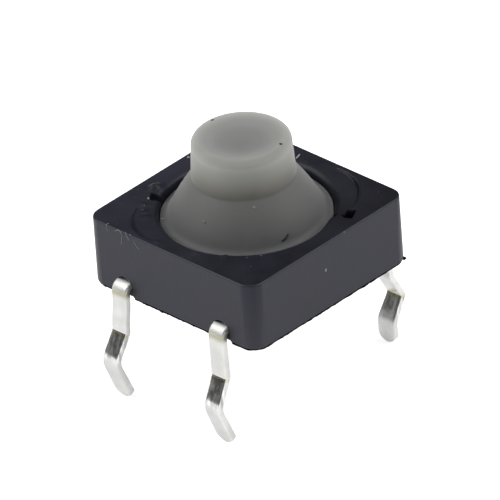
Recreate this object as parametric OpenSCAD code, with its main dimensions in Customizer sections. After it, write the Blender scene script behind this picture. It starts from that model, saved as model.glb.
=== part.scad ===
// Tactile push button switch with a silicone button and four through-hole pins.
// Millimetres. The origin is the centre of the underside, on the circuit board's face, and +Z is up.
// Pins leave the body towards -X and +X.

/* [Housing] */
// Width of the square housing
housing_w = 8; // [7.9:0.05:8.6]
// Height of the housing above the circuit board
housing_h = 2.65; // [2.4:0.05:3.2]
// Radius of the housing's upright corners
corner_r = 0.57; // [0.3:0.01:0.8]
// Thickness of the housing's side walls
side_wall = 0.45; // [0.4:0.05:0.5]
// Thickness of the housing's top
top_wall = 0.9; // [0.7:0.05:1.1]
// Narrowest distance from the round opening to the housing's side faces
opening_wall = 0.9; // [0.76:0.02:1]
// Rounding of the opening's upper edge
rim_round = 0.2; // [0.05:0.01:0.3]

/* [Pockets beside the opening] */
// Direction of the first pocket's middle
pocket_turn = -31; // [-36:1:-28]
// Distance of each pocket's outer edge from the middle of the housing
pocket_reach = 4.08; // [3.7:0.01:4.24]
// Radius of the pocket's round outline
pocket_r = 1.9; // [1.6:0.02:2.3]
// Depth of each pocket in its middle
pocket_depth = 0.15; // [0.1:0.01:0.3]
// Slope of the pocket's floor, down towards the slit
pocket_slope = 2.5; // [0:0.5:4]
// Angle between the slit and the pocket's middle
slit_turn = 31.5; // [20:0.5:36]
// Width of the slit
slit_w = 0.38; // [0.15:0.01:0.5]
// Length of the slit, outwards from the opening
slit_length = 0.72; // [0.3:0.02:0.9]
// Depth of the slit
slit_depth = 0.55; // [0.3:0.05:0.6]

/* [Pin arches] */
// Room beside the pin in its arch
arch_side = 0.05; // [0.02:0.01:0.25]
// Room over the strip in the arch
arch_head = 0.1; // [0.05:0.01:0.3]

/* [Posts] */
// Radius of the four posts that hold the base
post_r = 0.27; // [0.2:0.01:0.28]
// Distance of each post's axis from the housing's outer faces
post_inset = 0.95; // [0.92:0.01:1]
// Gap round each post in the pad and the base
post_clear = 0.03; // [0.02:0.01:0.04]
// Distance that the melted head stands out round each post
head_lip = 0.11; // [0.03:0.01:0.12]
// Height of the melted head
head_h = 0.2; // [0.1:0.01:0.22]
// Gap round and below each melted head
head_clear = 0.03; // [0.01:0.01:0.04]

/* [Silicone button] */
// Radius of the button where it grows out of the bell
stem_r = 1.865; // [1.7:0.005:1.95]
// Distance that the button narrows towards its top, on the radius
stem_taper = 0.07; // [0:0.01:0.2]
// Height of the button above the bell
stem_h = 1.52; // [1:0.02:2.5]
// Rounding of the button's top edge
stem_round = 0.14; // [0.05:0.01:0.4]
// Gap between the plunger and the bell's inner side
plunger_clear = 0.1; // [0.05:0.01:0.25]

/* [Silicone bell] */
// Height of the bell above the ledge at its foot
bell_h = 1.65; // [1.4:0.05:2]
// Gap between the ledge and the wall of the opening
ledge_clear = 0.03; // [0.02:0.01:0.05]
// Width of the ledge
ledge_w = 0.21; // [0.1:0.01:0.3]
// Depth of the ledge below the housing's top
ledge_drop = 0.3; // [0.22:0.01:0.5]
// Radius of the bell's bulging side
bell_bulge_r = 9.5; // [6:0.5:14]
// Thickness of the bell's wall
bell_wall = 0.35; // [0.3:0.01:0.37]
// Thickness of the flange that the housing clamps
flange_t = 0.4; // [0.3:0.05:0.5]
// Radius of the flange's corners
flange_corner_r = 0.35; // [0.2:0.01:0.5]

/* [Contact pill] */
// Thickness of the carbon pill under the plunger
pill_t = 0.3; // [0.2:0.05:0.5]
// Distance that the button travels
travel = 0.9; // [0.6:0.05:1]
// Gap left under the pill when the button is down
travel_spare = 0.02; // [0.01:0.01:0.1]

/* [Base] */
// Gap between the base and the housing's walls
base_clear = 0.03; // [0.01:0.01:0.05]
// Radius of the base's corners
base_corner_r = 0.3; // [0.2:0.01:0.5]

/* [Terminals] */
// Width of the pin
pin_w = 0.7; // [0.5:0.02:0.74]
// Thickness of the strip
pin_t = 0.25; // [0.2:0.01:0.28]
// Distance of each pin's middle from the housing's nearest corner, along its side
pin_inset = 1.65; // [1.62:0.01:1.75]
// Distance of the pins' outer faces from the housing
pin_reach = 0.34; // [0.3:0.02:0.5]
// Outer radius of the bend over the board
pin_bend_r = 0.33; // [0.3:0.01:0.4]
// Height of the strip's underside in the base
strip_z = 0.35; // [0.3:0.01:0.42]
// Depth at which the pin starts to kink outwards
kink_top_z = 1.4; // [1:0.05:2]
// Depth at which the kink reaches furthest out
kink_z = 2.27; // [2.1:0.01:2.6]
// Distance that the kink reaches out
kink_out = 0.46; // [0.2:0.02:0.6]
// Depth of the pin's tip
tip_z = 4.21; // [3.4:0.01:4.6]
// Distance that the tip turns back in
tip_in = 0.64; // [0.3:0.02:0.8]
// Width of the contact finger in the middle of each strip
finger_w = 1.8; // [1:0.1:2.4]
// Gap between the two contact fingers
finger_gap = 0.4; // [0.3:0.05:0.8]

/* [Hidden] */
$fn = 96;
// How far a cutter runs past the face that it cuts
past = 0.5;
cavity_w = housing_w - 2 * side_wall;
cavity_corner_r = 0.3;
cavity_h = housing_h - top_wall;
opening_r = housing_w / 2 - opening_wall;
base_w = cavity_w - 2 * base_clear;
base_h = cavity_h - flange_t;
post_xy = housing_w / 2 - post_inset;
head_r = post_r + head_lip;
head_recess_h = head_h + 2 * head_clear;
ledge_r = opening_r - ledge_clear;
ledge_z = housing_h - ledge_drop;
bell_foot_r = ledge_r - ledge_w;
stem_z = ledge_z + bell_h;
stem_top_r = stem_r - stem_taper;
stem_top_z = stem_z + stem_h;
strip_top_z = strip_z + pin_t;
pill_z = strip_top_z + travel + travel_spare;
plunger_z = pill_z + pill_t;
arch_w = pin_w + 2 * arch_side;
arch_h = strip_top_z + arch_head;
pin_x = housing_w / 2 + pin_reach;
pin_y = housing_w / 2 - pin_inset;
bend_x = pin_x - pin_bend_r;
bend_z = strip_top_z - pin_bend_r;
// Middle line of the pin below its bend
pin_path = [
  [pin_x - pin_t / 2, bend_z],
  [pin_x - pin_t / 2, -kink_top_z],
  [pin_x - pin_t / 2 + kink_out, -kink_z],
  [pin_x - pin_t / 2 + kink_out - tip_in, -tip_z]
];
// Centre of the arc that the bell's outer side follows, from its two ends
bell_chord = [bell_foot_r - stem_r, -bell_h];
bell_rise = sqrt(pow(bell_bulge_r, 2) - pow(norm(bell_chord) / 2, 2)) / norm(bell_chord);
bell_centre = [stem_r, stem_z] + bell_chord / 2 + bell_rise * [bell_chord[1], -bell_chord[0]];
bell_hollow_r = bell_bulge_r - bell_wall;
// Radius of the bell's inner side at its top and at the ledge
bell_top_in_r = bell_centre[0] + sqrt(pow(bell_hollow_r, 2) - pow(stem_z - bell_centre[1], 2));
bell_foot_in_r = bell_centre[0] + sqrt(pow(bell_hollow_r, 2) - pow(ledge_z - bell_centre[1], 2));
plunger_r = bell_top_in_r - plunger_clear;

// A flat square plate with round corners, in plan
module rounded_square(w, r) {
  square([w, w - 2 * r], center = true);
  square([w - 2 * r, w], center = true);
  for (x = [-1, 1], y = [-1, 1]) translate([x, y] * (w / 2 - r)) circle(r);
}

// One child at each of the four posts
module at_posts() {
  for (x = [-1, 1], y = [-1, 1]) translate([x * post_xy, y * post_xy, 0]) children();
}

// The crescent pocket on one side of the opening, with the slit at its deep end
module pocket() {
  rotate(pocket_turn) {
    translate([pocket_reach - pocket_r, 0, housing_h - pocket_depth]) rotate([pocket_slope, 0, 0])
      cylinder(r = pocket_r, h = past);
    rotate(-slit_turn) translate([opening_r - past, -slit_w / 2, housing_h - slit_depth])
      cube([slit_length + past, slit_w, slit_depth + past]);
  }
}

// Cutter that rounds the upper edge of the opening
module rim_cutter() {
  translate([0, 0, housing_h - rim_round]) rotate_extrude() difference() {
    translate([opening_r - past, 0]) square([rim_round + past, rim_round + past]);
    translate([opening_r + rim_round, 0]) circle(rim_round);
  }
}

// The way out for one pin, through the +X wall
module arch() {
  translate([cavity_w / 2 - base_clear, 0, arch_h - arch_w / 2]) rotate([90, 0, 90]) linear_extrude(side_wall + past) {
    circle(arch_w / 2);
    translate([-arch_w / 2, -housing_h]) square([arch_w, housing_h]);
  }
}

module housing() {
  color("#2b2b33") {
    difference() {
      linear_extrude(housing_h) rounded_square(housing_w, corner_r);
      translate([0, 0, -past]) linear_extrude(cavity_h + past) rounded_square(cavity_w, cavity_corner_r);
      translate([0, 0, -past]) cylinder(r = opening_r, h = housing_h + 2 * past);
      rim_cutter();
      for (turn = [0, 180]) rotate(turn) pocket();
      for (x = [0, 1], y = [-1, 1]) mirror([x, 0, 0]) translate([0, y * pin_y, 0]) arch();
    }
    at_posts() {
      translate([0, 0, head_clear]) cylinder(r = head_r, h = head_h);
      translate([0, 0, head_clear]) cylinder(r = post_r, h = cavity_h - head_clear);
    }
  }
}

// Middle stretch of one strip, in plan, with its finger towards the centre
module strip_plan() {
  translate([-bend_x, -pin_y - pin_w / 2]) square([2 * bend_x, pin_w]);
  translate([-finger_w / 2, -pin_y]) square([finger_w, pin_y - finger_gap / 2]);
}

// A straight length of strip from a to b, seen on its edge, with round ends
module strip_run(a, b) {
  along = b - a;
  translate(a) circle(pin_t / 2);
  translate(b) circle(pin_t / 2);
  translate(a) rotate(atan2(along[1], along[0])) translate([0, -pin_t / 2]) square([norm(along), pin_t]);
}

// The bend and the kinked pin of one end, seen on its edge
module leg_side() {
  intersection() {
    translate([bend_x, bend_z]) difference() {
      circle(pin_bend_r);
      circle(pin_bend_r - pin_t);
    }
    translate([bend_x, bend_z]) square(pin_bend_r);
  }
  translate([pin_x - pin_t, -kink_top_z]) square([pin_t, bend_z + kink_top_z]);
  for (i = [1 : len(pin_path) - 2]) strip_run(pin_path[i], pin_path[i + 1]);
}

// Outline of one pin from outside, square at the top and round at the tip
module leg_front() {
  translate([0, pin_w / 2 - tip_z]) circle(pin_w / 2);
  translate([-pin_w / 2, pin_w / 2 - tip_z]) square([pin_w, tip_z + strip_top_z]);
}

// One pin, on the +X end of the strip
module leg() {
  intersection() {
    translate([0, pin_w / 2, 0]) rotate([90, 0, 0]) linear_extrude(pin_w) leg_side();
    rotate([90, 0, 90]) linear_extrude(pin_x + kink_out + past) leg_front();
  }
}

// One stamped strip: two pins, the run between them and the contact finger
module terminal() {
  translate([0, 0, strip_z]) linear_extrude(pin_t) strip_plan();
  for (x = [0, 1]) mirror([x, 0, 0]) translate([0, -pin_y, 0]) leg();
}

module front_terminal() {
  color("#e4e4dd") terminal();
}

module back_terminal() {
  color("#e4e4dd") rotate(180) terminal();
}

module base() {
  color("#26262d") difference() {
    linear_extrude(base_h) rounded_square(base_w, base_corner_r);
    translate([0, 0, strip_top_z]) cylinder(r = bell_foot_in_r, h = base_h);
    for (turn = [0, 180]) rotate(turn) translate([0, 0, strip_z]) linear_extrude(pin_t) strip_plan();
    at_posts() {
      translate([0, 0, -past]) cylinder(r = post_r + post_clear, h = base_h + 2 * past);
      translate([0, 0, -past]) cylinder(r = head_r + head_clear, h = head_recess_h + past);
    }
  }
}

// Section of the bell's wall between its outer and inner arcs
module bell_wall_section() {
  intersection() {
    translate([0, ledge_z]) square([ledge_r, stem_z - ledge_z]);
    difference() {
      translate(bell_centre) circle(bell_bulge_r, $fn = 360);
      translate(bell_centre) circle(bell_hollow_r, $fn = 360);
    }
  }
}

// The thin wall that folds when the button is pressed, the ring that fills the opening and the clamped flange
module bell() {
  color("#8d8d86") {
    rotate_extrude() {
      bell_wall_section();
      translate([bell_foot_in_r, base_h]) square([ledge_r - bell_foot_in_r, ledge_z - base_h]);
    }
    translate([0, 0, base_h]) linear_extrude(flange_t) difference() {
      rounded_square(base_w, flange_corner_r);
      circle((bell_foot_in_r + ledge_r) / 2);
      for (x = [-1, 1], y = [-1, 1]) translate([x, y] * post_xy) circle(post_r + post_clear);
    }
  }
}

module button_stem() {
  color("#9b9b94") rotate_extrude() {
    polygon([
      [0, stem_z],
      [stem_r, stem_z],
      [stem_top_r, stem_top_z - stem_round],
      [stem_top_r - stem_round, stem_top_z],
      [0, stem_top_z]
    ]);
    intersection() {
      translate([stem_top_r - stem_round, stem_top_z - stem_round]) circle(stem_round);
      translate([stem_top_r - stem_round, stem_top_z - stem_round]) square(stem_round);
    }
    translate([0, plunger_z]) square([plunger_r, stem_z - plunger_z]);
  }
}

module contact_pill() {
  color("#1c1c1e") translate([0, 0, pill_z]) cylinder(r = plunger_r, h = pill_t);
}

housing();
base();
front_terminal();
back_terminal();
bell();
button_stem();
contact_pill();
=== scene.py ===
"""Looks of a tactile push button switch: black moulded housing, grey silicone button and tinned pins."""
import math

import bmesh
import bpy
from mathutils import Matrix, Vector, noise


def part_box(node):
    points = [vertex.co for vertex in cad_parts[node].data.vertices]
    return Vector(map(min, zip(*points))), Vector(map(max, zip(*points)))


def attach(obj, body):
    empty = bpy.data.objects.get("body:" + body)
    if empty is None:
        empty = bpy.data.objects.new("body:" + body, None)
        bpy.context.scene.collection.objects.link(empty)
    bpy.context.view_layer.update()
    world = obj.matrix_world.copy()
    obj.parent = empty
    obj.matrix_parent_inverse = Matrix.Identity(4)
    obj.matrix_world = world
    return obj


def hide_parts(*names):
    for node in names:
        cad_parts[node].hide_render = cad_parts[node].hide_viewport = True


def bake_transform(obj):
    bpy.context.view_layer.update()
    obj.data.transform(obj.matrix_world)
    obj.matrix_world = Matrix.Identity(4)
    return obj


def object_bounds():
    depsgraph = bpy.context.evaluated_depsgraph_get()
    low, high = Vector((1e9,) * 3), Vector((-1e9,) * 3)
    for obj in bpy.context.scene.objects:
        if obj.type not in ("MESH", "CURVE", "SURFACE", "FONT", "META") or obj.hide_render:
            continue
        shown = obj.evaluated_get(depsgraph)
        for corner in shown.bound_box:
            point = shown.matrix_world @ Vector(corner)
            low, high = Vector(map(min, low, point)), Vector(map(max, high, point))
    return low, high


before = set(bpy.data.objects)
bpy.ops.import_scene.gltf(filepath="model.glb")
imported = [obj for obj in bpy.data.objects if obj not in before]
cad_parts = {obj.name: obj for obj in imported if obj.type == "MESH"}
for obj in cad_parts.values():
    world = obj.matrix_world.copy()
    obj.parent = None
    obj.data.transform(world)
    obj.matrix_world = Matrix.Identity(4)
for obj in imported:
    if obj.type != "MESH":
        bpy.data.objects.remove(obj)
cad_low, cad_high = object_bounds()

MM = 0.001

# Sizes of the silicone moulding, in metres. They are the solids' own, but for STEM_ROUND, which is softer
STEM_R = 1.865 * MM
STEM_TOP_R = 1.795 * MM
STEM_ROUND = 0.26 * MM
OPENING_R = 3.1 * MM
LEDGE_R = 3.07 * MM
LEDGE_DROP = 0.3 * MM
BELL_FOOT_R = 2.86 * MM
BELL_BULGE_R = 9.5 * MM
BELL_WALL = 0.35 * MM
FLANGE_T = 0.4 * MM
FLANGE_CORNER_R = 0.35 * MM
# Height of the hollow roundings between the button and the bell, and between the bell and its ledge
NECK_FILLET = 0.08 * MM
FOOT_FILLET = 0.2 * MM
# Rounding of the ledge's outer edge and of the plunger's end
LEDGE_ROUND = 0.05 * MM
PLUNGER_ROUND = 0.08 * MM
# Steps round the moulding and round the plunger
TURN_STEPS = 256
PLUNGER_STEPS = 96

_, stem_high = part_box("button_stem")
bell_low, bell_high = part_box("bell")
_, pill_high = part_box("contact_pill")
housing_low, housing_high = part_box("housing")
STEM_TOP_Z = stem_high.z
STEM_Z = bell_high.z
FLANGE_Z = bell_low.z
FLANGE_TOP_Z = FLANGE_Z + FLANGE_T
FLANGE_HALF = bell_high.x
PLUNGER_R = pill_high.x
PLUNGER_Z = pill_high.z
LEDGE_Z = housing_high.z - LEDGE_DROP

# Tone of the silicone, by which it is coloured with painted light and shade: 0 at the middle of the top's painted
# shade, given in radii from the middle, then the mean tone at the top's painted light on its edge, what it has more
# at the back and less at the front, the neck's, and 1 at the foot
TOP_SHADE_MIDDLE = Vector((-0.28, -0.28))
LIT_EDGE_TONE = 0.225
EDGE_LIGHT_SWING = 0.025
NECK_SHADE_TONE = 0.6
# Painted shade in the top's middle, painted light at its edge and upper stem, painted shade down to the bell's foot
SILICONE_PAINTED_SHADING = [
    (0.0, (0.19, 0.19, 0.184)),
    (0.1, (0.215, 0.215, 0.207)),
    (0.16, (0.25, 0.25, 0.24)),
    (0.19, (0.26, 0.26, 0.249)),
    (0.215, (0.295, 0.295, 0.281)),
    (0.245, (0.375, 0.375, 0.356)),
    (0.29, (0.47, 0.47, 0.442)),
    (0.35, (0.4, 0.4, 0.37)),
    (0.42, (0.33, 0.33, 0.3)),
    (0.54, (0.21, 0.207, 0.178)),
    (0.585, (0.165, 0.165, 0.147)),
    (0.6, (0.135, 0.136, 0.125)),
    (0.615, (0.15, 0.152, 0.142)),
    (0.69, (0.138, 0.14, 0.135)),
    (0.96, (0.105, 0.107, 0.105)),
    (1.0, (0.08, 0.08, 0.08)),
]
SILICONE_ROUGHNESS = [(0.0, 0.4), (0.14, 0.5), (0.18, 0.85), (0.3, 0.85), (0.42, 0.45), (0.64, 0.58)]

# Housing: upright corners, rounding of its top edges and of the opening's rim, and the most that its burr stands out
HOUSING_CORNER_R = 0.57 * MM
HOUSING_EDGE = 0.055 * MM
RIM_ROUND = 0.2 * MM
FLASH_R = 0.085 * MM
# Where the opening is wider, and where its rim is rounder: direction, most that is added, and the cosine of the angle
# from that direction at which it begins, with the width of the change
OPENING_WIDER = (math.radians(225), 0.14 * MM, 0.3, 0.55)
RIM_ROUNDER = (math.radians(-8), 0.16 * MM, 0.7, 0.25)
# Ceiling inside the housing
CEILING_Z = housing_high.z - 0.9 * MM
# Grid of the housing's top: steps round it, outwards and over the rim, the share of the edge's rounding that it
# leaves to the walls, and how far its border turns down and in behind them
TOP_TURNS = 900
TOP_SPOKES = 62
RIM_STEPS = 9
TOP_EDGE_SHARE = 0.97
TOP_LIP = 0.02 * MM
# Crescent pockets: distance of the middle from the axis and radius, how many times flatter the floor rises on the
# side before the middle, then for each one its direction, its depth in the middle, its slope past the middle and the
# softness of its edge
POCKET_PLACE = 2.18 * MM
POCKET_R = 1.9 * MM
POCKET_FLATTER = 3
POCKETS = [
    (math.radians(-31), 0.15 * MM, 0.09, 0.15 * MM),
    (math.radians(149), 0.07 * MM, 0.045, 0.3 * MM),
]
# Slits: (direction, outer end, lateral edges, those of the inner end, depth); burr has half filled the second
SLITS = [
    (math.radians(-62.5), 3.92 * MM, (-0.19 * MM, 0.34 * MM), (0.0, 0.27 * MM), 0.55 * MM),
    (math.radians(117.5), 3.5 * MM, (-0.12 * MM, 0.14 * MM), (-0.12 * MM, 0.14 * MM), 0.3 * MM),
]
# How far before its outer end a slit begins to widen, over which length it does, and the softness of its edge
SLIT_WIDENS = 0.5 * MM
SLIT_WIDENS_OVER = 0.3 * MM
SLIT_EDGE = 0.07 * MM
# Bumps and dents that the mould left on the top: place in mm, radii in mm and height in mm
BLEMISHES = [
    ((-1.15, 3.34), (0.26, 0.2), 0.17), ((-1.55, 3.12), (0.1, 0.09), 0.06), ((-2.2, 2.95), (0.2, 0.12), 0.06),
    ((-2.7, 2.3), (0.16, 0.14), 0.06), ((-2.45, 2.6), (0.12, 0.1), 0.04), ((-3.75, 0.8), (0.1, 0.16), 0.05),
    ((-3.42, -0.8), (0.1, 0.16), 0.05), ((-2.95, -1.75), (0.14, 0.1), 0.05), ((-2.75, -2.3), (0.2, 0.16), 0.02),
    ((3.4, 2.2), (0.4, 0.3), -0.015),
]
# Faint waves of the top: length in metres and height in mm
WAVES = [(0.8 * MM, 0.006), (0.25 * MM, 0.002)]
# Burr at the foot: half the gap that it leaves at a pin's arch, and steps round the housing
FLASH_GAP = 0.43 * MM
FLASH_STEPS = 900
# Slack where parts of a mesh are told apart by their place
SLACK = 0.1 * MM
# Sharp edges of the solids that are rounded, and the steps of the rounding
SHARP_ANGLE = math.radians(30)
EDGE_SEGMENTS = 3

# Pins: half width by depth under the board in mm, thickness, rounding of their long edges on the outer and the inner
# face, place along Y, step along the pin, angles round its tip at which it has a section, and the distance to either
# side from which its direction is taken
PIN_HALVES = [(0, 0.35), (2.5, 0.35), (3.4, 0.385), (4.2, 0.405)]
PIN_T = 0.25 * MM
PIN_OUTER_EDGE = 0.07 * MM
PIN_INNER_EDGE = 0.02 * MM
PIN_Y = 2.35 * MM
PIN_STEP = 0.04 * MM
TIP_ANGLES = range(0, 88, 7)
PIN_NEARBY = 0.03 * MM
# Middle line of each pin as (x, z, rounding), and its lean along Y as (depth, shift), in mm
FRONT_PIN = [(3.7, 0.475, 0), (4.2, 0.475, 0.36), (4.2, -1.45, 0.08), (4.73, -2.56, 0.7), (4.08, -4.165, 0)]
RIGHT_PIN = [
    (3.7, 0.475, 0), (4.2, 0.475, 0.36), (4.2, -1.38, 0.1), (4.68, -2.36, 0.12), (4.2, -3.38, 0.5), (4.26, -4.2, 0),
]
PINS = [
    ("left_pin", -1, PIN_Y, FRONT_PIN, [(0, 0), (1.42, 0.12), (2.5, 0.22), (4.2, 0.2)]),
    ("front_pin", -1, -PIN_Y, FRONT_PIN, [(0, 0), (1.42, -0.03), (4.2, -0.05)]),
    ("right_pin", 1, -PIN_Y, RIGHT_PIN, [(0, 0), (1.4, -0.12), (2.4, -0.18), (3.4, -0.1), (4.2, -0.08)]),
    ("back_pin", 1, PIN_Y, FRONT_PIN, [(0, 0), (4.2, 0.04)]),
]
# Heights in mm between which the tin's colours are placed
TIN_LOW = -5
TIN_HIGH = 1
# Strips inside the housing: rounding of their edges, and where the swept pins take over from them
STRIP_EDGE = 0.05 * MM
STRIP_END_X = 3.86 * MM
# Tongues of the base, which fill the arches under the strips: reach along X, half width, reach along Z, and rounding
TONGUE_X = (3.5 * MM, 3.95 * MM)
TONGUE_HALF = 0.38 * MM
TONGUE_Z = (0.01 * MM, 0.32 * MM)
BLOCK_EDGE = 0.02 * MM
# Fine dust: smallest and largest radius, and how far a face must look up to hold it, as its normal's height
DUST_SMALLEST = 0.004 * MM
DUST_LARGEST = 0.022 * MM
DUST_UPWARD = 0.9

# Floor: half its width in metres, and how strongly it glows for the camera and in the metal
FLOOR_HALF = 0.6
FLOOR_GLOW = 0.75
FLOOR_GLOW_IN_METAL = 0.34
# Camera, solved from the edges of the housing in the photograph: place, aim, roll, and lens and sensor in mm
CAMERA_PLACE = Vector((-398.681, -404.686, 355.506)) * MM
CAMERA_AIM = Vector((0.2555, 0.2251, 0.544)) * MM
CAMERA_ROLL = math.radians(-4.222)
CAMERA_LENS = 1364.92
CAMERA_SENSOR = 36

# Sockets of the Mix node for colours, and of the Random Value node for plain numbers
MIX_SHARE, MIX_A, MIX_B, MIX_RESULT = 0, 6, 7, 2
RANDOM_LOW, RANDOM_HIGH, RANDOM_RESULT = 2, 3, 1


def material(name, color, roughness, metallic=0.0, specular=0.5):
    """A material, its tree and its Principled shader, whose plain values sit on its own sockets."""
    made = bpy.data.materials.new(name)
    made.use_nodes = True
    shader = made.node_tree.nodes["Principled BSDF"]
    shader.inputs["Base Color"].default_value = (*color, 1)
    shader.inputs["Roughness"].default_value = roughness
    shader.inputs["Metallic"].default_value = metallic
    shader.inputs["Specular IOR Level"].default_value = specular
    return made, made.node_tree, shader


def add_node(tree, kind, **values):
    """A node with its properties and its inputs set by name."""
    made = tree.nodes.new(kind)
    for key, value in values.items():
        if hasattr(made, key):
            setattr(made, key, value)
        else:
            made.inputs[key.replace("_", " ")].default_value = value
    return made


def calculated(tree, operation, *values):
    """Result of a Math node on values that are numbers or outputs."""
    made = add_node(tree, "ShaderNodeMath", operation=operation)
    for socket, value in zip(made.inputs, values):
        if isinstance(value, (int, float)):
            socket.default_value = value
        else:
            tree.links.new(value, socket)
    return made.outputs["Value"]


def multiplied(tree, first, second, share=None):
    """One colour multiplied by another, fully or by a share that comes from an output."""
    made = add_node(tree, "ShaderNodeMix", data_type="RGBA", blend_type="MULTIPLY")
    made.inputs[MIX_SHARE].default_value = 1
    if share is not None:
        tree.links.new(share, made.inputs[MIX_SHARE])
    tree.links.new(first, made.inputs[MIX_A])
    tree.links.new(second, made.inputs[MIX_B])
    return made.outputs[MIX_RESULT]


def noise_of(tree, scale, detail=3.0, stretch=(1, 1, 1), coordinates=None):
    """Noise on the object's own coordinates, with a stretch along each axis."""
    if coordinates is None:
        coordinates = add_node(tree, "ShaderNodeTexCoord").outputs["Object"]
    mapping = add_node(tree, "ShaderNodeMapping")
    mapping.inputs["Scale"].default_value = stretch
    tree.links.new(coordinates, mapping.inputs["Vector"])
    made = add_node(tree, "ShaderNodeTexNoise", Scale=scale, Detail=detail)
    tree.links.new(mapping.outputs["Vector"], made.inputs["Vector"])
    return made.outputs["Fac"]


def ramp_of(tree, source, stops):
    """A colour ramp over a value, from (position, colour) stops."""
    made = add_node(tree, "ShaderNodeValToRGB")
    elements = made.color_ramp.elements
    while len(elements) < len(stops):
        elements.new(0.5)
    for element, (position, color) in zip(elements, stops):
        element.position = position
        element.color = (*color, 1)
    tree.links.new(source, made.inputs["Fac"])
    return made.outputs["Color"]


def grey(value):
    """A grey as a colour."""
    return (value, value, value)


def bump_of(tree, shader, height, strength, distance):
    """Bump from a height, on the shader's normal."""
    made = add_node(tree, "ShaderNodeBump", Strength=strength, Distance=distance)
    tree.links.new(height, made.inputs["Height"])
    tree.links.new(made.outputs["Normal"], shader.inputs["Normal"])


def housing_plastic(name, specular, dark, light, painted_back_light):
    """Black moulded plastic, cloudy between a dark and a light tone, with painted light towards +Y and painted shade
    towards -Y when the last argument is not 0.
    """
    made, tree, shader = material(name, dark, roughness=0.4, specular=specular)
    coordinates = add_node(tree, "ShaderNodeTexCoord").outputs["Object"]
    cloud = noise_of(tree, scale=600, detail=5, coordinates=coordinates)
    # Painted light and shade by the place along Y
    along = add_node(tree, "ShaderNodeVectorMath", operation="DOT_PRODUCT")
    tree.links.new(coordinates, along.inputs[0])
    along.inputs[1].default_value = (0, painted_back_light, 0)
    mottled = calculated(tree, "ADD", cloud, along.outputs["Value"])
    color = ramp_of(tree, mottled, [(0.22, dark), (0.85, light)])
    rough = ramp_of(tree, cloud, [(0.3, grey(0.33)), (0.7, grey(0.43))])
    tree.links.new(color, shader.inputs["Base Color"])
    tree.links.new(rough, shader.inputs["Roughness"])
    shader.inputs["Specular Tint"].default_value = (0.92, 0.93, 1.0, 1)
    bump_of(tree, shader, noise_of(tree, scale=6000, detail=4), strength=0.35, distance=0.012 * MM)
    return made


def base_plastic():
    """Black plastic of the base, plainer than the housing's."""
    made, tree, shader = material("base_plastic", (0.016, 0.016, 0.019), roughness=0.55)
    bump_of(tree, shader, noise_of(tree, scale=7000, detail=3), strength=0.2, distance=0.01 * MM)
    return made


def height_of(tree, coordinates):
    """Height as a value from 0 at TIN_LOW to 1 at TIN_HIGH."""
    split = add_node(tree, "ShaderNodeSeparateXYZ")
    tree.links.new(coordinates, split.inputs["Vector"])
    height = add_node(tree, "ShaderNodeMapRange")
    tree.links.new(split.outputs["Z"], height.inputs["Value"])
    height.inputs["From Min"].default_value = TIN_LOW * MM
    height.inputs["From Max"].default_value = TIN_HIGH * MM
    return height.outputs["Result"]


def height_ramp(tree, height, stops):
    """A colour ramp over height_of, from (height in mm, colour) stops."""
    return ramp_of(tree, height, [((place - TIN_LOW) / (TIN_HIGH - TIN_LOW), color) for place, color in stops])


def tinned_strip(name, tone, marks, kink, worn):
    """Bright tin plating, brushed lengthways, with marks, (height, half width, colour) in mm, at the bends, which are
    yellowing, painted shade over a highlight, or both, and streaks between the two heights of the kink, under which
    it is worn to a roughness."""
    made, tree, shader = material(name, (0.76, 0.76, 0.74), roughness=0.22, metallic=1.0)
    coordinates = add_node(tree, "ShaderNodeTexCoord").outputs["Object"]
    height = height_of(tree, coordinates)
    patches = noise_of(tree, scale=1800, detail=4, coordinates=coordinates)
    dull = (tone - 0.05, tone - 0.05, tone - 0.07)
    bright = (tone + 0.05, tone + 0.05, tone + 0.03)
    plating = ramp_of(tree, patches, [(0.35, dull), (0.65, bright)])
    low, high = kink
    kinked = [(low - 0.25, grey(0)), (low, grey(1)), (high, grey(1)), (high + 0.04, grey(0))]
    streaks = noise_of(tree, scale=7000, detail=5, stretch=(1, 1, 0.06), coordinates=coordinates)
    streak_tones = ramp_of(tree, streaks, [(0.38, grey(0.6)), (0.62, grey(1.4))])
    streaked = multiplied(tree, plating, streak_tones, share=height_ramp(tree, height, kinked))
    # Marks are yellowing, or painted shade that dims the bend's highlight, or both
    stops = []
    for middle, half, color in marks:
        stops += [(middle - half, grey(1)), (middle, color), (middle + half, grey(1))]
    marked_and_shaded = multiplied(tree, streaked, height_ramp(tree, height, stops))
    tree.links.new(marked_and_shaded, shader.inputs["Base Color"])
    roughness = [
        (low - 0.5, 0.2), (low - 0.2, worn), (low + 0.2, 0.2), (-1.5, 0.2), (-1.2, 0.3), (0.1, 0.4), (0.4, 0.5),
    ]
    rough = height_ramp(tree, height, [(place, grey(value)) for place, value in roughness])
    tree.links.new(rough, shader.inputs["Roughness"])
    brushing = noise_of(tree, scale=15000, detail=4, stretch=(0.03, 1, 0.03), coordinates=coordinates)
    bump_of(tree, shader, brushing, strength=0.5, distance=0.006 * MM)
    return made


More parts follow.
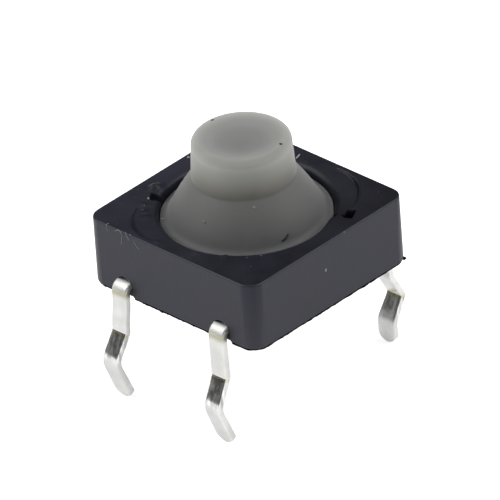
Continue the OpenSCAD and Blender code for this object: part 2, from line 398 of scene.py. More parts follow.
def grey_silicone_painted_shading():
    """Translucent grey silicone whose colour over its tone is painted light and shade: painted light at the top's
    edge and upper stem, and painted shade in the top's middle, at the neck and over the thin bell with the dark
    inside behind it.
    """
    made, tree, shader = material("grey_silicone_painted_shading", (0.33, 0.33, 0.31), roughness=0.3)
    tone = add_node(tree, "ShaderNodeAttribute", attribute_name="tone").outputs["Fac"]
    # The tone's colours are painted light and shade, not the silicone's own colour
    color = ramp_of(tree, tone, SILICONE_PAINTED_SHADING)
    rough = ramp_of(tree, tone, [(place, grey(value)) for place, value in SILICONE_ROUGHNESS])
    tree.links.new(color, shader.inputs["Base Color"])
    tree.links.new(rough, shader.inputs["Roughness"])
    shader.inputs["Sheen Weight"].default_value = 0.6
    shader.inputs["Sheen Roughness"].default_value = 0.4
    shader.inputs["Subsurface Weight"].default_value = 0.7
    shader.inputs["Subsurface Radius"].default_value = (1, 0.98, 0.92)
    shader.inputs["Subsurface Scale"].default_value = 0.6 * MM
    rest = add_node(tree, "ShaderNodeAttribute", attribute_name="rest").outputs["Vector"]
    bump_of(tree, shader, noise_of(tree, scale=2200, detail=3, coordinates=rest), strength=0.12, distance=0.01 * MM)
    return made


def carbon_rubber():
    """Matt black rubber of the pill."""
    made, tree, shader = material("carbon_rubber", (0.01, 0.01, 0.01), roughness=0.8)
    bump_of(tree, shader, noise_of(tree, scale=6000, detail=2), strength=0.3, distance=0.01 * MM)
    return made


def object_of(name, mesh, finish):
    """An object with a mesh and one material."""
    made = bpy.data.objects.new(name, mesh)
    bpy.context.scene.collection.objects.link(made)
    made.data.materials.append(finish)
    return made


def object_from(name, made, finish):
    """An object from a bmesh, which is freed."""
    mesh = bpy.data.meshes.new(name)
    made.to_mesh(mesh)
    made.free()
    return object_of(name, mesh, finish)


def keep_modified(made):
    """Puts the result of an object's modifiers in place of its mesh."""
    evaluated = made.evaluated_get(bpy.context.evaluated_depsgraph_get())
    finished = bpy.data.meshes.new_from_object(evaluated)
    made.modifiers.clear()
    made.data = finished


def arc(centre, radius, start, end, steps):
    """Points of an arc in a profile, from one angle to the other, ends included."""
    made = []
    for i in range(steps + 1):
        angle = start + (end - start) * i / steps
        made.append((centre[0] + radius * math.cos(angle), centre[1] + radius * math.sin(angle)))
    return made


def line(a, b, steps):
    """Points from a towards b, b left out."""
    return [(a[0] + (b[0] - a[0]) * i / steps, a[1] + (b[1] - a[1]) * i / steps) for i in range(steps)]


def bell_arc(radius_out, low_z, high_z, steps):
    """Points down the bell's side, on the arc through its top and its foot or on one inside it."""
    chord = Vector((BELL_FOOT_R - STEM_R, LEDGE_Z - STEM_Z))
    rise = math.sqrt(BELL_BULGE_R ** 2 - (chord.length / 2) ** 2) / chord.length
    centre = Vector((STEM_R, STEM_Z)) + chord / 2 + rise * Vector((chord.y, -chord.x))
    start = math.asin((high_z - centre.y) / radius_out)
    end = math.asin((low_z - centre.y) / radius_out)
    return arc(centre, radius_out, start, end, steps)


def square_reach(half, corner_r, angle):
    """Distance from the centre to the edge of a square with round corners, in one direction."""
    x, y = abs(math.cos(angle)), abs(math.sin(angle))
    flat = half / max(x, y)
    if min(x, y) * flat <= half - corner_r:
        return flat
    middle = half - corner_r
    along = middle * (x + y)
    return along + math.sqrt(max(along ** 2 - 2 * middle ** 2 + corner_r ** 2, 0))


def lathe(name, rings, finish, steps=TURN_STEPS):
    """A closed turned mesh. A ring is (radius, height), or (None, height) for the flange's square edge."""
    made = bmesh.new()
    loops = []
    for radius, height in rings:
        if radius == 0:
            loops.append([made.verts.new((0, 0, height))])
            continue
        loop = []
        for i in range(steps):
            angle = 2 * math.pi * i / steps
            reach = square_reach(FLANGE_HALF, FLANGE_CORNER_R, angle) if radius is None else radius
            loop.append(made.verts.new((reach * math.cos(angle), reach * math.sin(angle), height)))
        loops.append(loop)
    for a, b in zip(loops, loops[1:]):
        for i in range(steps):
            j = (i + 1) % steps
            corners = [a[i % len(a)], a[j % len(a)], b[j % len(b)], b[i % len(b)]]
            made.faces.new(list(dict.fromkeys(corners)))
    bmesh.ops.recalc_face_normals(made, faces=made.faces)
    for face in made.faces:
        face.smooth = True
    return object_from(name, made, finish)


def eased(start, corner, end, steps):
    """Points of a smooth curve past a corner, start left out and end included."""
    made = []
    for i in range(1, steps + 1):
        t = i / steps
        weights = ((1 - t) ** 2, 2 * t * (1 - t), t ** 2)
        made.append(tuple(sum(w * p[k] for w, p in zip(weights, (start, corner, end))) for k in (0, 1)))
    return made


def ledge_corner(bell_side):
    """Where the bell's side, carried on past its last two points, would meet the ledge."""
    before, last = bell_side[-2:]
    slope = (last[0] - before[0]) / (before[1] - last[1])
    return (last[0] + slope * (last[1] - LEDGE_Z), LEDGE_Z)


def silicone_rings():
    """Profile of the button and the bell, from the middle of the top to the middle of the underside. The last number
    of each call is its count of steps."""
    top_flat_r = STEM_TOP_R - STEM_ROUND
    flat = line((0, STEM_TOP_Z), (top_flat_r, STEM_TOP_Z), 12)
    top_round = arc((top_flat_r, STEM_TOP_Z - STEM_ROUND), STEM_ROUND, math.pi / 2, 0, 10)
    neck_top = (STEM_R, STEM_Z + NECK_FILLET)
    side = line((STEM_TOP_R, STEM_TOP_Z - STEM_ROUND), neck_top, 20) + [neck_top]
    outside = bell_arc(BELL_BULGE_R, LEDGE_Z + FOOT_FILLET, STEM_Z - NECK_FILLET, 36)
    neck = eased(neck_top, (STEM_R, STEM_Z), outside[0], 8)
    corner = ledge_corner(outside)
    foot = eased(outside[-1], corner, (LEDGE_R - LEDGE_ROUND, LEDGE_Z), 10)[:-1]
    ledge_edge = arc((LEDGE_R - LEDGE_ROUND, LEDGE_Z - LEDGE_ROUND), LEDGE_ROUND, math.pi / 2, 0, 4)
    ring = line((LEDGE_R, LEDGE_Z - LEDGE_ROUND), (LEDGE_R, FLANGE_TOP_Z), 4)[1:] + [(LEDGE_R, FLANGE_TOP_Z)]
    flange = [(None, FLANGE_TOP_Z), (None, FLANGE_Z)]
    inside = list(reversed(bell_arc(BELL_BULGE_R - BELL_WALL, LEDGE_Z, STEM_Z, 30)))
    ring_inside = [(inside[0][0], FLANGE_Z)]
    outer = flat + top_round[:-1] + side + neck + outside[1:] + foot + ledge_edge + ring
    return outer + flange + ring_inside + inside + [(0, STEM_Z)]


def shading_tone_of(x, y, height):
    """Tone of the silicone at a place, which colours its painted light and shade: it rises from the middle of the
    top's painted shade to the top's painted light at the edge, then down the stem to the neck and down the bell to
    its foot."""
    flat_r = STEM_TOP_R - STEM_ROUND
    # Painted light at the top's edge: more towards the back, less towards the front
    painted_back_light = min(max((x + y) / (math.sqrt(2) * flat_r), -1), 1)
    edge = LIT_EDGE_TONE + EDGE_LIGHT_SWING * painted_back_light
    on_top = math.hypot(x, y) < flat_r * 0.999 and height > STEM_Z
    if on_top:
        away = Vector((x, y)) / flat_r - TOP_SHADE_MIDDLE
        along = TOP_SHADE_MIDDLE.dot(away)
        reach = math.sqrt(along ** 2 + away.length_squared * (1 - TOP_SHADE_MIDDLE.length_squared)) - along
        return edge * away.length_squared / reach
    if height >= STEM_Z:
        return edge + (NECK_SHADE_TONE - edge) * (STEM_TOP_Z - height) / (STEM_TOP_Z - STEM_Z)
    return NECK_SHADE_TONE + (1 - NECK_SHADE_TONE) * (STEM_Z - height) / (STEM_Z - LEDGE_Z)


def silicone_button(finish):
    """The button and the bell, which are one moulding."""
    made = lathe("silicone_button", silicone_rings(), finish)
    # Each point gets its tone of painted light and shade
    tone = made.data.attributes.new("tone", "FLOAT", "POINT")
    rest = made.data.attributes.new("rest", "FLOAT_VECTOR", "POINT")
    for vertex in made.data.vertices:
        tone.data[vertex.index].value = min(max(shading_tone_of(*vertex.co), 0), 1)
        rest.data[vertex.index].vector = vertex.co
    return made


def silicone_plunger(finish):
    """The plunger under the button, inside the bell."""
    end_round = arc((PLUNGER_R - PLUNGER_ROUND, PLUNGER_Z + PLUNGER_ROUND), PLUNGER_ROUND, 0, -math.pi / 2, 6)
    rings = [(0, STEM_Z), (PLUNGER_R, STEM_Z)] + end_round + [(0, PLUNGER_Z)]
    return lathe("silicone_plunger", rings, finish, PLUNGER_STEPS)


def soft_weight(vertex, edge, width):
    """How much of the rounding an edge takes at one end, less where a short edge crosses it there."""
    along = (edge.other_vert(vertex).co - vertex.co).normalized()
    roomy = width * 2.5
    shortest = roomy
    for other in vertex.link_edges:
        if other is edge:
            continue
        across = (other.other_vert(vertex).co - vertex.co).normalized()
        if abs(across.dot(along)) < 0.5:
            shortest = min(shortest, other.calc_length())
    return min(1, shortest / roomy)


def softened_copy(node, finish, width, trim):
    """A copy of a CAD node with doubles merged, flat faces joined and sharp edges rounded, less what trim drops."""
    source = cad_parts[node]
    made = bmesh.new()
    made.from_mesh(source.data)
    bmesh.ops.remove_doubles(made, verts=made.verts, dist=0.0005 * MM)
    bmesh.ops.dissolve_limit(made, angle_limit=math.radians(0.4), verts=made.verts, edges=made.edges)
    weight = made.edges.layers.float.new("bevel_weight_edge")
    for edge in made.edges:
        if edge.is_manifold and edge.calc_face_angle(0) > SHARP_ANGLE:
            edge[weight] = min(soft_weight(vertex, edge, width) for vertex in edge.verts)
    piece = object_from(node + "_soft", made, finish)
    bevel = piece.modifiers.new("soft edges", "BEVEL")
    bevel.width = width
    bevel.segments = EDGE_SEGMENTS
    bevel.limit_method = "WEIGHT"
    bevel.use_clamp_overlap = False
    bevel.harden_normals = True
    keep_modified(piece)
    trimmed = bmesh.new()
    trimmed.from_mesh(piece.data)
    trim(trimmed)
    trimmed.to_mesh(piece.data)
    trimmed.free()
    return piece


def smooth(t):
    """Eased step from 0 to 1."""
    t = min(max(t, 0), 1)
    return t * t * (3 - 2 * t)


def without_top(made):
    """Drops the top and the opening's wall, which housing_top makes."""
    inner = housing_high.x - SLACK
    dropped = []
    for face in made.faces:
        in_opening = all(math.hypot(vertex.co.x, vertex.co.y) < inner for vertex in face.verts)
        if face.calc_center_median().z > CEILING_Z + SLACK and (face.normal.z > 0.99 or in_opening):
            dropped.append(face)
    bmesh.ops.delete(made, geom=dropped, context="FACES")


def without_pins(made):
    """Drops what stands outside the housing's walls, which the swept pins make."""
    for side in (-1, 1):
        parts = list(made.verts) + list(made.edges) + list(made.faces)
        place, outwards = (side * STRIP_END_X, 0, 0), (side, 0, 0)
        bmesh.ops.bisect_plane(made, geom=parts, plane_co=place, plane_no=outwards, clear_outer=True)


def blemish_height(x, y):
    """Height of the bumps and waves at a place on the top."""
    total = 0
    for place, radii, height in BLEMISHES:
        away = ((x / MM - place[0]) / radii[0]) ** 2 + ((y / MM - place[1]) / radii[1]) ** 2
        total += height * MM * math.exp(-away)
    waves = sum(noise.noise(Vector((x, y, i)) / length) * height for i, (length, height) in enumerate(WAVES))
    return total + waves * MM


def pocket_drop(x, y):
    """Depth of the crescent pockets at a place on the top."""
    deepest = 0
    for turn, middle, slope, edge in POCKETS:
        along = x * math.cos(turn) + y * math.sin(turn)
        across = y * math.cos(turn) - x * math.sin(turn)
        inside = POCKET_R - math.hypot(along - POCKET_PLACE, across)
        depth = max(middle - (slope if across > 0 else slope / POCKET_FLATTER) * across, 0)
        deepest = max(deepest, depth * smooth(inside / edge + 0.5) if along > 0 else 0)
    return deepest


def slit_drop(x, y):
    """Depth of the slits at a place on the top."""
    deepest = 0
    for turn, end, sides, inner_sides, depth in SLITS:
        along = x * math.cos(turn) + y * math.sin(turn)
        across = y * math.cos(turn) - x * math.sin(turn)
        outward = smooth((along - end + SLIT_WIDENS) / SLIT_WIDENS_OVER)
        low, high = (inner + (outer - inner) * outward for inner, outer in zip(inner_sides, sides))
        inside = min(end - along, across - low, high - across)
        if along > 0:
            deepest = max(deepest, depth * smooth(inside / SLIT_EDGE + 0.5))
    return deepest


def top_height(x, y):
    """Height of the housing's top, without the rim's rounding."""
    return housing_high.z - max(pocket_drop(x, y), slit_drop(x, y)) + blemish_height(x, y)


def added(change, angle):
    """What OPENING_WIDER or RIM_ROUNDER adds in one direction."""
    direction, most, begin, width = change
    return most * smooth((math.cos(angle - direction) - begin) / width)


def housing_top(finish):
    """The housing's top from the opening to its outer edges, with soft pockets, slits and mould marks."""
    edge = housing_high.x - HOUSING_EDGE * TOP_EDGE_SHARE
    made = bmesh.new()
    loops = [[] for _ in range(RIM_STEPS + TOP_SPOKES + 3)]
    for i in range(TOP_TURNS):
        angle = 2 * math.pi * i / TOP_TURNS
        across, up = math.cos(angle), math.sin(angle)
        wall = OPENING_R + added(OPENING_WIDER, angle)
        round_r = RIM_ROUND + added(RIM_ROUNDER, angle)
        outer = square_reach(edge, HOUSING_CORNER_R - HOUSING_EDGE, angle)
        loops[0].append(made.verts.new((wall * across, wall * up, CEILING_Z)))
        for j in range(RIM_STEPS + 1):
            bend = math.pi / 2 * j / RIM_STEPS
            reach = wall + round_r * (1 - math.cos(bend))
            height = top_height(reach * across, reach * up) - round_r * (1 - math.sin(bend))
            loops[j + 1].append(made.verts.new((reach * across, reach * up, height)))
        start = wall + round_r
        for j in range(1, TOP_SPOKES + 1):
            reach = start + (outer - start) * j / TOP_SPOKES
            place = (reach * across, reach * up)
            height = top_height(*place) if j < TOP_SPOKES else housing_high.z
            loops[RIM_STEPS + 1 + j].append(made.verts.new((*place, height)))
        under = square_reach(housing_high.x - TOP_LIP, HOUSING_CORNER_R - TOP_LIP, angle)
        loops[-1].append(made.verts.new((under * across, under * up, housing_high.z - TOP_LIP)))
    for a, b in zip(loops, loops[1:]):
        for i in range(TOP_TURNS):
            made.faces.new((a[i - 1], a[i], b[i], b[i - 1]))
    bmesh.ops.recalc_face_normals(made, faces=made.faces)
    if sum(face.normal.z for face in made.faces) < 0:
        bmesh.ops.reverse_faces(made, faces=made.faces)
    for face in made.faces:
        face.smooth = True
    return object_from("housing_top", made, finish)


def bent_line(corners):
    """Points along a line through (x, z, rounding) corners, each rounded."""
    made = [Vector(corners[0][:2])]
    for before, here, after in zip(corners, corners[1:], corners[2:]):
        corner = Vector(here[:2])
        back = (Vector(before[:2]) - corner).normalized()
        ahead = (Vector(after[:2]) - corner).normalized()
        reach = here[2] / math.tan(back.angle(ahead) / 2)
        start = corner + back * reach
        made.append(start)
        made += [Vector(point) for point in eased(start, corner, corner + ahead * reach, 10)]
    return made + [Vector(corners[-1][:2])]


def walked(path, distance):
    """The point that lies a distance along a line."""
    for a, b in zip(path, path[1:]):
        step = (b - a).length
        if distance <= step:
            return a + (b - a) * distance / step
        distance -= step
    return path[-1]


def strip_section(half_t, half_w):
    """Outline of the strip's cross-section, more rounded on the outer face, and never quite round at the tip."""
    outer, inner = (min(edge, half_w * 0.95) for edge in (PIN_OUTER_EDGE, PIN_INNER_EDGE))
    corners = [(half_t - outer, half_w - outer, outer), (inner - half_t, half_w - inner, inner)]
    corners += [(inner - half_t, inner - half_w, inner), (half_t - outer, outer - half_w, outer)]
    made = []
    for quarter, (a, b, edge) in enumerate(corners):
        made += arc((a, b), edge, math.pi / 2 * quarter, math.pi / 2 * (quarter + 1), 4)
    return made


def between(stops, value):
    """Eased value between (place, value) stops."""
    for (a, low_value), (b, high_value) in zip(stops, stops[1:]):
        if value <= b:
            return low_value + (high_value - low_value) * smooth((value - a) / (b - a))
    return stops[-1][1]


def pin(name, finish, side, y, corners, lean):
    """One pin swept along its bends, round at the tip. Corners and lean are in millimetres."""
    path = [point * MM for point in bent_line(corners)]
    length = sum((b - a).length for a, b in zip(path, path[1:]))
    tip = PIN_HALVES[0][1] * MM
    stations = [PIN_STEP * i for i in range(int((length - tip) / PIN_STEP))]
    stations += [length - tip + tip * math.sin(math.radians(angle)) for angle in TIP_ANGLES]
    made = bmesh.new()
    rings = []
    for station in stations:
        here = walked(path, station)
        ahead = walked(path, station + PIN_NEARBY) - walked(path, max(station - PIN_NEARBY, 0))
        out = Vector((-ahead.y, ahead.x)).normalized()
        past = max(station - (length - tip), 0)
        half_w = between(PIN_HALVES, -here.y / MM) * MM * math.sqrt(max(1 - (past / tip) ** 2, 0))
        shift = y + between(lean, -here.y / MM) * MM
        ring = []
        for a, b in strip_section(PIN_T / 2, half_w):
            ring.append(made.verts.new((side * (here.x + out.x * a), shift + b, here.y + out.y * a)))
        rings.append(ring)
    for a, b in zip(rings, rings[1:]):
        for i in range(len(a)):
            made.faces.new((a[i - 1], a[i], b[i], b[i - 1]))
    made.faces.new(rings[0])
    made.faces.new(rings[-1])
    bmesh.ops.recalc_face_normals(made, faces=made.faces)
    for face in made.faces:
        face.smooth = True
    piece = object_from(name, made, finish)
    piece.modifiers.new("weighted", "WEIGHTED_NORMAL")
    keep_modified(piece)
    return piece


def block(name, low, high, finish):
    """A plain block with slightly rounded edges."""
    made = bmesh.new()
    bmesh.ops.create_cube(made, size=1)
    for vertex in made.verts:
        vertex.co = [(low[k] + high[k]) / 2 + vertex.co[k] * (high[k] - low[k]) for k in range(3)]
    bmesh.ops.bevel(made, geom=made.edges[:], offset=BLOCK_EDGE, segments=2, affect="EDGES")
    return object_from(name, made, finish)


def placed_points(name, places, sizes):
    """A mesh of loose points with a size on each."""
    mesh = bpy.data.meshes.new(name)
    mesh.from_pydata([Vector(place) * MM for place in places], [], [])
    size = mesh.attributes.new("size", "FLOAT_VECTOR", "POINT")
    for i, value in enumerate(sizes):
        size.data[i].vector = Vector(value) * MM
    return mesh


def with_tree(name, mesh, tree):
    """An object whose mesh has been through a Geometry Nodes tree."""
    made = bpy.data.objects.new(name, mesh)
    bpy.context.scene.collection.objects.link(made)
    made.modifiers.new("tree", "NODES").node_group = tree
    keep_modified(made)
    return made


def new_tree(name):
    """An empty Geometry Nodes tree with one geometry in and one out."""
    tree = bpy.data.node_groups.new(name, "GeometryNodeTree")
    tree.interface.new_socket("Geometry", in_out="INPUT", socket_type="NodeSocketGeometry")
    tree.interface.new_socket("Geometry", in_out="OUTPUT", socket_type="NodeSocketGeometry")
    return tree, tree.nodes.new("NodeGroupInput"), tree.nodes.new("NodeGroupOutput")


def jitter(tree, geometry, scale, amount):
    """Moves a geometry's points by noise."""
    field = add_node(tree, "ShaderNodeTexNoise", Scale=scale, Detail=2.0)
    centred = add_node(tree, "ShaderNodeVectorMath", operation="SUBTRACT")
    tree.links.new(field.outputs["Color"], centred.inputs[0])
    centred.inputs[1].default_value = (0.5, 0.5, 0.5)
    scaled = add_node(tree, "ShaderNodeVectorMath", operation="SCALE")
    tree.links.new(centred.outputs["Vector"], scaled.inputs[0])
    scaled.inputs["Scale"].default_value = amount
    moved = tree.nodes.new("GeometryNodeSetPosition")
    tree.links.new(geometry, moved.inputs["Geometry"])
    tree.links.new(scaled.outputs["Vector"], moved.inputs["Offset"])
    return moved.outputs["Geometry"]


def finish_tree(tree, geometry, finish, end):
    """Ends a tree: real mesh, then the material."""
    real = tree.nodes.new("GeometryNodeRealizeInstances")
    tree.links.new(geometry, real.inputs["Geometry"])
    coloured = tree.nodes.new("GeometryNodeSetMaterial")
    coloured.inputs["Material"].default_value = finish
    tree.links.new(real.outputs["Geometry"], coloured.inputs["Geometry"])
    tree.links.new(coloured.outputs["Geometry"], end.inputs["Geometry"])


def balls(tree, points, size, subdivisions):
    """A ball on each point, with a size as its radius or as its half lengths."""
    ball = add_node(tree, "GeometryNodeMeshIcoSphere", Radius=1, Subdivisions=subdivisions)
    placed = tree.nodes.new("GeometryNodeInstanceOnPoints")
    tree.links.new(points, placed.inputs["Points"])
    tree.links.new(ball.outputs["Mesh"], placed.inputs["Instance"])
    tree.links.new(size, placed.inputs["Scale"])
    return placed.outputs["Instances"]


def crumbs(name, places, sizes, finish):
    """Uneven grains, each with its own place and its own half lengths, in millimetres."""
    tree, start, end = new_tree(name)
    size = add_node(tree, "GeometryNodeInputNamedAttribute", data_type="FLOAT_VECTOR", Name="size")
    grains = balls(tree, start.outputs["Geometry"], size.outputs["Attribute"], subdivisions=3)
    real = tree.nodes.new("GeometryNodeRealizeInstances")
    tree.links.new(grains, real.inputs["Geometry"])
    uneven = jitter(tree, real.outputs["Geometry"], scale=18000, amount=0.05 * MM)
    finish_tree(tree, uneven, finish, end)
    return with_tree(name, placed_points(name, places, sizes), tree)


def runs_mesh(name, runs):
    """A mesh of open chains of points, given in metres."""
    places = []
    edges = []
    for run in runs:
        edges += [(len(places) + i, len(places) + i + 1) for i in range(len(run) - 1)]
        places += run
    mesh = bpy.data.meshes.new(name)
    mesh.from_pydata(places, edges, [])
    return mesh


def tube_of(tree, curve, radius):
    """A node that makes a tube along a curve, with eight sides."""
    profile = add_node(tree, "GeometryNodeCurvePrimitiveCircle", Resolution=8, Radius=radius)
    tube = tree.nodes.new("GeometryNodeCurveToMesh")
    tree.links.new(curve, tube.inputs["Curve"])
    tree.links.new(profile.outputs["Curve"], tube.inputs["Profile Curve"])
    return tube


def threads(name, runs, radius, finish):
    """Thin fibres along runs of points, given in millimetres."""
    mesh = runs_mesh(name, [[Vector(place) * MM for place in run] for run in runs])
    tree, start, end = new_tree(name)
    curve = tree.nodes.new("GeometryNodeMeshToCurve")
    tree.links.new(start.outputs["Geometry"], curve.inputs["Mesh"])
    shaped = add_node(tree, "GeometryNodeCurveSplineType", spline_type="CATMULL_ROM")
    tree.links.new(curve.outputs["Curve"], shaped.inputs["Curve"])
    tube = tube_of(tree, shaped.outputs["Curve"], radius)
    tube.inputs["Fill Caps"].default_value = True
    finish_tree(tree, tube.outputs["Mesh"], finish, end)
    return with_tree(name, mesh, tree)


def foot_runs():
    """Runs along the housing's bottom edge, broken where the pins leave."""
    half = housing_high.x - FLASH_R
    runs = []
    run = []
    for i in range(FLASH_STEPS + 1):
        angle = 2 * math.pi * i / FLASH_STEPS
        reach = square_reach(half, HOUSING_CORNER_R, angle)
        place = Vector((reach * math.cos(angle), reach * math.sin(angle), housing_low.z - 0.5 * FLASH_R))
        on_pin_side = abs(place.x) > 0.9 * half
        if on_pin_side and abs(abs(place.y) - PIN_Y) < FLASH_GAP:
            if len(run) > 1:
                runs.append(run)
            run = []
        else:
            run.append(place)
    if len(run) > 1:
        runs.append(run)
    return runs


def foot_flash(finish):
    """The ragged burr of the moulding along its bottom edge."""
    tree, start, end = new_tree("foot_flash")
    curve = tree.nodes.new("GeometryNodeMeshToCurve")
    tree.links.new(start.outputs["Geometry"], curve.inputs["Mesh"])
    ragged = add_node(tree, "ShaderNodeTexNoise", Scale=2600.0, Detail=3.0, Roughness=0.7)
    width = add_node(tree, "ShaderNodeMapRange")
    tree.links.new(ragged.outputs["Fac"], width.inputs["Value"])
    width.inputs["From Min"].default_value = 0.45
    width.inputs["From Max"].default_value = 0.75
    width.inputs["To Min"].default_value = 0.56 * FLASH_R
    width.inputs["To Max"].default_value = FLASH_R
    tube = tube_of(tree, curve.outputs["Curve"], 1)
    tree.links.new(width.outputs["Result"], tube.inputs["Scale"])
    finish_tree(tree, tube.outputs["Mesh"], finish, end)
    return with_tree("foot_flash", runs_mesh("foot_flash", foot_runs()), tree)


def fine_dust(shell, finish, density, seed):
    """Fine pale dust strewn over the housing's top."""
    tree, start, end = new_tree("fine_dust")
    normal = tree.nodes.new("GeometryNodeInputNormal")
    split = add_node(tree, "ShaderNodeSeparateXYZ")
    tree.links.new(normal.outputs["Normal"], split.inputs["Vector"])
    upward = calculated(tree, "GREATER_THAN", split.outputs["Z"], DUST_UPWARD)
    spread = tree.nodes.new("GeometryNodeDistributePointsOnFaces")
    tree.links.new(start.outputs["Geometry"], spread.inputs["Mesh"])
    tree.links.new(upward, spread.inputs["Selection"])
    spread.inputs["Density"].default_value = density
    spread.inputs["Seed"].default_value = seed
    size = add_node(tree, "FunctionNodeRandomValue", data_type="FLOAT")
    size.inputs[RANDOM_LOW].default_value = DUST_SMALLEST
    size.inputs[RANDOM_HIGH].default_value = DUST_LARGEST
    size.inputs["Seed"].default_value = seed
    grains = balls(tree, spread.outputs["Points"], size.outputs[RANDOM_RESULT], subdivisions=1)
    finish_tree(tree, grains, finish, end)
    return with_tree("fine_dust", shell.data.copy(), tree)


def plain(name, color, roughness=0.7, specular=0.5):
    """A plain matt material with a faint grain."""
    made, tree, shader = material(name, color, roughness, specular=specular)
    bump_of(tree, shader, noise_of(tree, scale=12000, detail=2), strength=0.3, distance=0.01 * MM)
    return made


def paint(node, finish):
    """Gives a CAD node its finish."""
    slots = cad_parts[node].data.materials
    slots.clear()
    slots.append(finish)


def world_dome():
    """A light studio: pale above, a dark band low down, and plain white where the camera looks."""
    world = bpy.data.worlds.new("studio")
    bpy.context.scene.world = world
    world.use_nodes = True
    tree = world.node_tree
    background = tree.nodes["Background"]
    direction = add_node(tree, "ShaderNodeTexCoord").outputs["Generated"]
    split = add_node(tree, "ShaderNodeSeparateXYZ")
    tree.links.new(direction, split.inputs["Vector"])
    brightness = [(0.0, 0.9), (0.02, 0.05), (0.32, 0.06), (0.53, 0.33), (0.75, 0.65), (1.0, 0.7)]
    dome = ramp_of(tree, split.outputs["Z"], [(height, grey(value)) for height, value in brightness])
    tree.links.new(dome, background.inputs["Color"])
    white = add_node(tree, "ShaderNodeBackground")
    white.inputs["Color"].default_value = (1, 1, 1, 1)
    rays = add_node(tree, "ShaderNodeLightPath")
    mixed = add_node(tree, "ShaderNodeMixShader")
    tree.links.new(rays.outputs["Is Camera Ray"], mixed.inputs["Fac"])
    tree.links.new(background.outputs["Background"], mixed.inputs[1])
    tree.links.new(white.outputs["Background"], mixed.inputs[2])
    tree.links.new(mixed.outputs["Shader"], tree.nodes["World Output"].inputs["Surface"])


def floor_material():
    """Pale floor that shows white to the camera and in the metal, and keeps the shadow."""
    made, tree, shader = material("floor_white", grey(0.8), roughness=1.0, specular=0.0)
    rays = add_node(tree, "ShaderNodeLightPath")
    mirrored = calculated(tree, "MAXIMUM", rays.outputs["Is Glossy Ray"], rays.outputs["Is Transmission Ray"])
    in_metal = calculated(tree, "MULTIPLY", mirrored, FLOOR_GLOW_IN_METAL)
    glow = calculated(tree, "MULTIPLY_ADD", rays.outputs["Is Camera Ray"], FLOOR_GLOW, in_metal)
    shader.inputs["Emission Color"].default_value = (1, 1, 1, 1)
    tree.links.new(glow, shader.inputs["Emission Strength"])
    return made


def floor():
    """A wide plain floor under the pin tips."""
    mesh = bpy.data.meshes.new("floor")
    corners = [(x * FLOOR_HALF, y * FLOOR_HALF, cad_low.z) for x, y in ((-1, -1), (1, -1), (1, 1), (-1, 1))]
    mesh.from_pydata(corners, [], [(0, 1, 2, 3)])
    made = object_of("floor", mesh, floor_material())


def softbox(name, place, size, power):
    """A square lamp aimed at the switch."""
    lamp = bpy.data.lights.new(name, "AREA")
    lamp.shape = "SQUARE"
    lamp.size = size
    lamp.energy = power
    made = bpy.data.objects.new(name, lamp)
    made.location = place
    made.rotation_euler = (-Vector(place)).to_track_quat("-Z", "Y").to_euler()
    bpy.context.scene.collection.objects.link(made)


def camera():
    """The photograph's view: a long lens, level but for a slight roll."""
    lens = bpy.data.cameras.new("camera")
    lens.sensor_width = CAMERA_SENSOR
    lens.lens = CAMERA_LENS
    lens.clip_start = 0.01
    lens.clip_end = 5
    made = bpy.data.objects.new("camera", lens)
    look = (CAMERA_AIM - CAMERA_PLACE).to_track_quat("-Z", "Y").to_matrix().to_4x4()
    made.matrix_world = Matrix.Translation(CAMERA_PLACE) @ look @ Matrix.Rotation(CAMERA_ROLL, 4, "Z")
    bpy.context.scene.collection.objects.link(made)
    bpy.context.scene.camera = made


camera()
world_dome()
floor()
softbox("left_softbox", place=(-0.2, 0.21, 0.27), size=0.3, power=0.8)
softbox("right_softbox", place=(0.21, -0.2, 0.27), size=0.3, power=0.7)

plastic = housing_plastic(
    "housing_plastic",
    specular=0.5,
    dark=(0.0025, 0.0032, 0.008),
    light=(0.0115, 0.0105, 0.029),
    painted_back_light=0,
)
# The top's colour holds painted shade at its front and painted light at its back
painted_light_top_plastic = housing_plastic(
    "housing_top_painted_light_plastic",
    specular=0.25,
    dark=(0.002, 0.0021, 0.006),
    light=(0.02, 0.0204, 0.034),
    painted_back_light=60,
)
silicone = grey_silicone_painted_shading()
tin = tinned_strip(
    "tinned_strip",
    tone=0.75,
    # At 0.2 mm yellowing and painted shade under the bend's highlight; at 0.48 mm painted shade over that highlight
    marks=[(-1.53, 0.07, (0.85, 0.76, 0.5)), (0.2, 0.2, (0.66, 0.64, 0.48)), (0.48, 0.1, (0.8, 0.8, 0.78))],
    kink=(-2.3, -1.5),
    worn=0.22,
)
kinked_tin = tinned_strip(
    "kinked_tin",
    tone=0.84,
    marks=[(-2.42, 0.16, (0.86, 0.8, 0.6)), (-4.05, 0.2, (0.88, 0.85, 0.72))],
    kink=(-3.1, -2.45),
    worn=0.42,
)

shell = softened_copy("housing", plastic, HOUSING_EDGE, without_top)
shell.name = "housing_shell"
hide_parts("housing")
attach(shell, "body")

top = housing_top(painted_light_top_plastic)
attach(top, "body")

for node in ("front_terminal", "back_terminal"):
    strip = softened_copy(node, tin, STRIP_EDGE, without_pins)
    strip.name = node + "_strip"
    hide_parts(node)
    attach(strip, "body")

black = base_plastic()
for name, side, y, corners, lean in PINS:
    leg = pin(name, kinked_tin if corners is RIGHT_PIN else tin, side, y, corners, lean)
    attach(leg, "body")
    near, far = sorted(side * x for x in TONGUE_X)
    under, over = TONGUE_Z
    tongue = block(name + "_tongue", (near, y - TONGUE_HALF, under), (far, y + TONGUE_HALF, over), black)
    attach(tongue, "body")

paint("base", black)
paint("contact_pill", carbon_rubber())

button = silicone_button(silicone)
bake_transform(button)
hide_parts("bell", "button_stem")

plunger = silicone_plunger(silicone)
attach(plunger, "button")

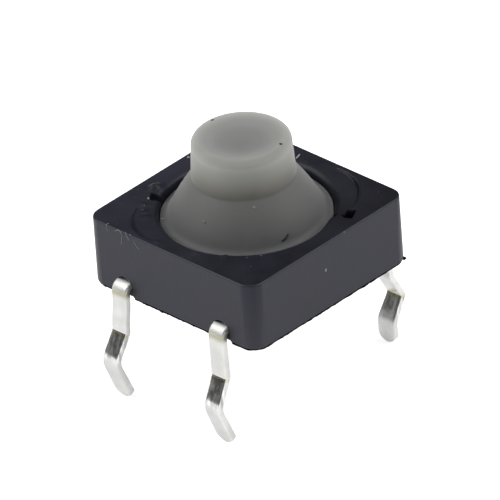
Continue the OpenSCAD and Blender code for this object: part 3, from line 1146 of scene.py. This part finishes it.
pale = plain("pale_dust", (0.3, 0.3, 0.31))
faint = plain("faint_dust", (0.1, 0.1, 0.12))
dark = plain("dark_speck", (0.01, 0.01, 0.012))

housing_crumbs = crumbs(
    "housing_crumbs",
    places=[(-1.8, 3.05, 2.63), (-0.248, -3.99, 1.585), (1.044, 3.783, 2.66)],
    sizes=[(0.04, 0.045, 0.05), (0.05, 0.03, 0.07), (0.05, 0.05, 0.03)],
    finish=pale,
)
faint_crumbs = crumbs(
    "faint_crumbs",
    places=[
        (0.812, -3.98, 2.62), (-2.935, -1.753, 2.62), (-2.3, -2.45, 2.66), (-2.15, -2.75, 2.66),
        (-2.55, -2.45, 2.66), (-2.2, 2.9, 2.6), (-2.4, 2.75, 2.58), (-2.68, 2.28, 2.6),
    ],
    sizes=[
        (0.06, 0.03, 0.03), (0.09, 0.07, 0.05), (0.05, 0.03, 0.01), (0.03, 0.05, 0.01),
        (0.04, 0.02, 0.01), (0.05, 0.04, 0.02), (0.03, 0.03, 0.02), (0.06, 0.05, 0.02),
    ],
    finish=faint,
)
fleck = threads(
    "fleck",
    runs=[[(3.32, 0.67, 2.67), (3.45, 0.7, 2.68), (3.57, 0.74, 2.68)]],
    radius=0.03 * MM,
    finish=pale,
)
edge_fibres = threads(
    "edge_fibres",
    runs=[
        [(-3.88, 3.0, 2.665), (-3.98, 3.02, 2.64), (-4.0, 3.0, 2.52), (-4.0, 2.945, 2.41)],
        [(-3.99, 2.6, 2.55), (-4.0, 2.4, 2.66), (-4.0, 2.26, 2.5), (-4.0, 2.33, 2.12)],
        [(-3.96, 2.11, 2.67), (-4.0, 2.02, 2.56), (-4.0, 1.9, 2.44)],
        [(-3.96, 1.9, 2.67), (-4.0, 1.6, 2.36), (-4.0, 1.465, 2.25)],
    ],
    radius=0.016 * MM,
    finish=plain("fibre", (0.2, 0.2, 0.22)),
)
dust = fine_dust(top, plain("fine_dust", (0.09, 0.09, 0.1)), density=2.2e6, seed=7)
burr_black = plain("burr", (0.002, 0.002, 0.003), roughness=0.9, specular=0.02)
burr = foot_flash(burr_black)
corner_burr = crumbs(
    "corner_burr",
    places=[(3.83, -3.85, -0.03), (3.86, -3.875, -0.03)],
    sizes=[(0.08, 0.07, 0.06), (0.05, 0.045, 0.035)],
    finish=burr_black,
)
for piece in (housing_crumbs, faint_crumbs, fleck, edge_fibres, dust, burr, corner_burr):
    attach(piece, "body")

stem_specks = crumbs(
    "stem_specks",
    places=[(0.161, 1.521, 5.51), (0.449, -1.49, 5.51)],
    sizes=[(0.08, 0.06, 0.015), (0.06, 0.07, 0.015)],
    finish=dark,
)
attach(stem_specks, "button")

bell_specks = crumbs(
    "bell_specks",
    places=[(-1.226, -1.625, 3.765), (-2.376, -0.261, 3.224), (-2.173, 2.033, 2.36)],
    sizes=[(0.06, 0.05, 0.05), (0.05, 0.05, 0.05), (0.05, 0.05, 0.03)],
    finish=plain("pale_speck", (0.24, 0.24, 0.24)),
)
bell_fibre = threads(
    "bell_fibre",
    runs=[[(-0.911, -2.6, 2.582), (-0.76, -2.64, 2.64), (-0.618, -2.625, 2.72)]],
    radius=0.034 * MM,
    finish=dark,
)
for piece in (bell_specks, bell_fibre):
    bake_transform(piece)

bpy.context.scene.view_settings.view_transform = "Standard"
